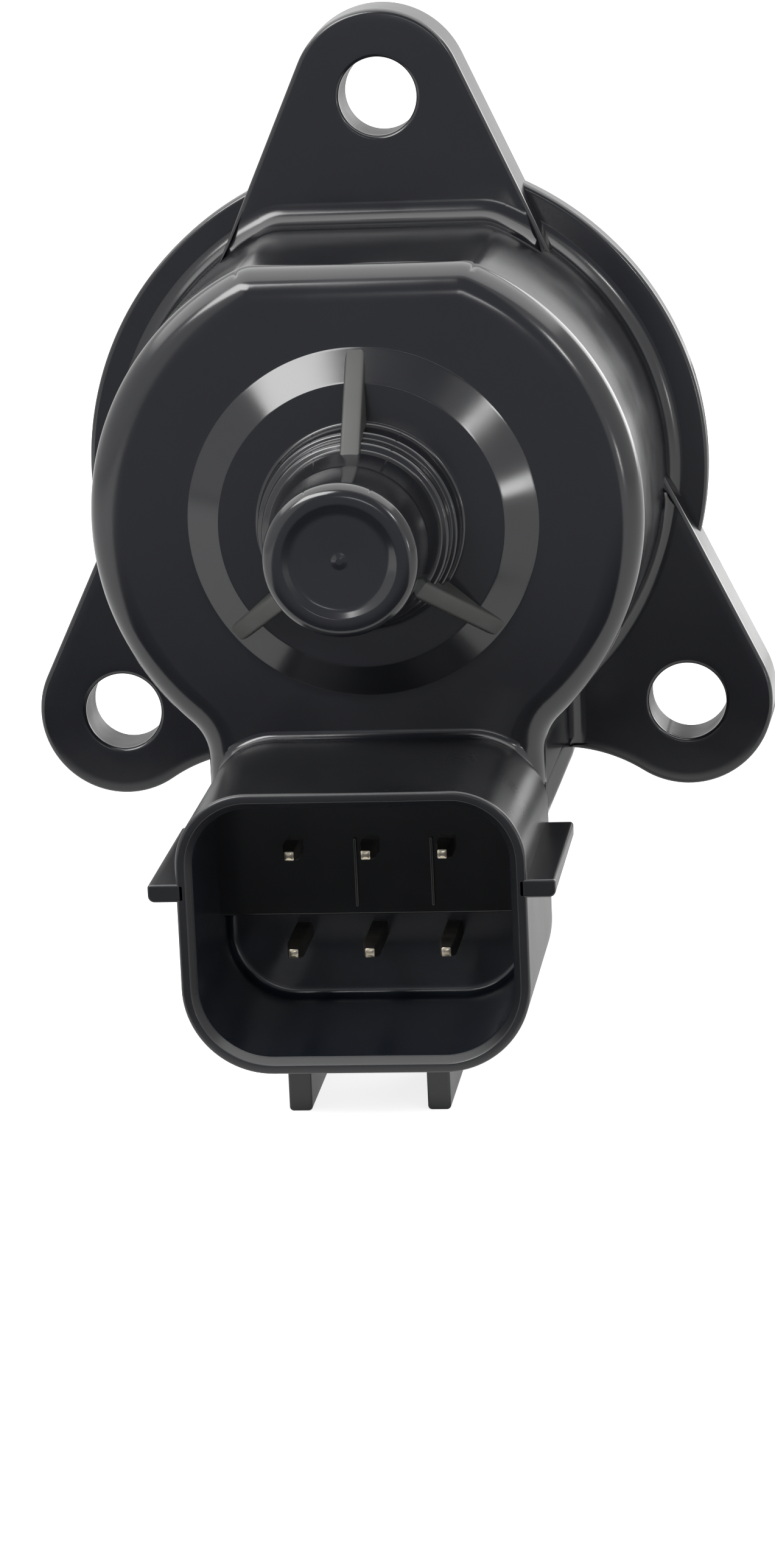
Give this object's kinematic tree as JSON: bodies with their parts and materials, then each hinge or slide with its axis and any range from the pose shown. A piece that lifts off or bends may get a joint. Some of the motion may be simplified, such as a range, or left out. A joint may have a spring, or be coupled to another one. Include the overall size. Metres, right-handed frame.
{
  "type": "idle air control valve",
  "caption": "Stepper driven idle air control valve: eared moulded cover with a side connector, sealed spigot and a tapered pintle that slides to meter bypass air.",
  "frame": {"origin": "on the motor axis at the mounting face, where the back of the flange and ears meets the throttle body", "axes": "+Y along the motor axis into the throttle body, the way the pintle extends; +Z towards the single ear, away from the connector; +X to the right when looking at the cover"},
  "size_m": [0.0476, 0.058, 0.0635],
  "materials": {
    "housing_black": "glossy moulded, glass filled",
    "terminal_tin": "tin plated bronze",
    "bush_bronze": "sintered bronze",
    "stator_steel": "zinc plated, pressed",
    "bobbin_plastic": "natural moulding",
    "winding_copper": "enamelled copper wire",
    "cap_plastic": "moulded",
    "seal_rubber": "oiled rubber",
    "bearing_steel": "ground and polished",
    "cage_brass": "pressed",
    "hub_plastic": "moulded",
    "magnet_ferrite": "sintered, ground",
    "screw_steel": "rolled thread",
    "pintle_plastic": "heat resistant moulding",
    "spring_steel": "drawn wire"
  },
  "bodies": {
    "cover": {"housing": "housing_black", "terminal_1": "terminal_tin", "terminal_2": "terminal_tin", "terminal_3": "terminal_tin", "terminal_4": "terminal_tin", "terminal_5": "terminal_tin", "terminal_6": "terminal_tin", "rear_bush": "bush_bronze", "rear_cup": "stator_steel", "rear_bobbin": "bobbin_plastic", "rear_winding": "winding_copper", "rear_pole_plate": "stator_steel", "front_pole_plate": "stator_steel", "front_bobbin": "bobbin_plastic", "front_winding": "winding_copper", "front_cup": "stator_steel", "end_cap": "cap_plastic", "guide_bush": "bush_bronze", "o_ring": "seal_rubber", "bearing_outer_race": "bearing_steel", "spring": "spring_steel"},
    "rotor": {"rotor_hub": "hub_plastic", "rotor_magnet": "magnet_ferrite", "bearing_inner_race": "bearing_steel"},
    "ball_cage": {"bearing_cage": "cage_brass", "bearing_balls": "bearing_steel"},
    "valve": {"lead_screw": "screw_steel", "pintle": "pintle_plastic"}
  },
  "joints": [
    {"name": "rotor_spin", "type": "hinge", "parent": "cover", "child": "rotor", "pos_m": [0, 0, 0], "axis": [0, -1, 0], "range_deg": [0, 1440]},
    {"name": "cage_spin", "type": "hinge", "parent": "cover", "child": "ball_cage", "pos_m": [0, 0, 0], "axis": [0, -1, 0], "range_deg": [0, 600]},
    {"name": "pintle_slide", "type": "slide", "parent": "cover", "child": "valve", "axis": [0, 1, 0], "range_m": [0, 0.008], "deforming": ["spring"]}
  ],
  "couplings": [
    {"joint": "rotor_spin", "follows": "pintle_slide", "rad_per_m": 3141.5},
    {"joint": "cage_spin", "follows": "pintle_slide", "rad_per_m": 1308.9}
  ]
}
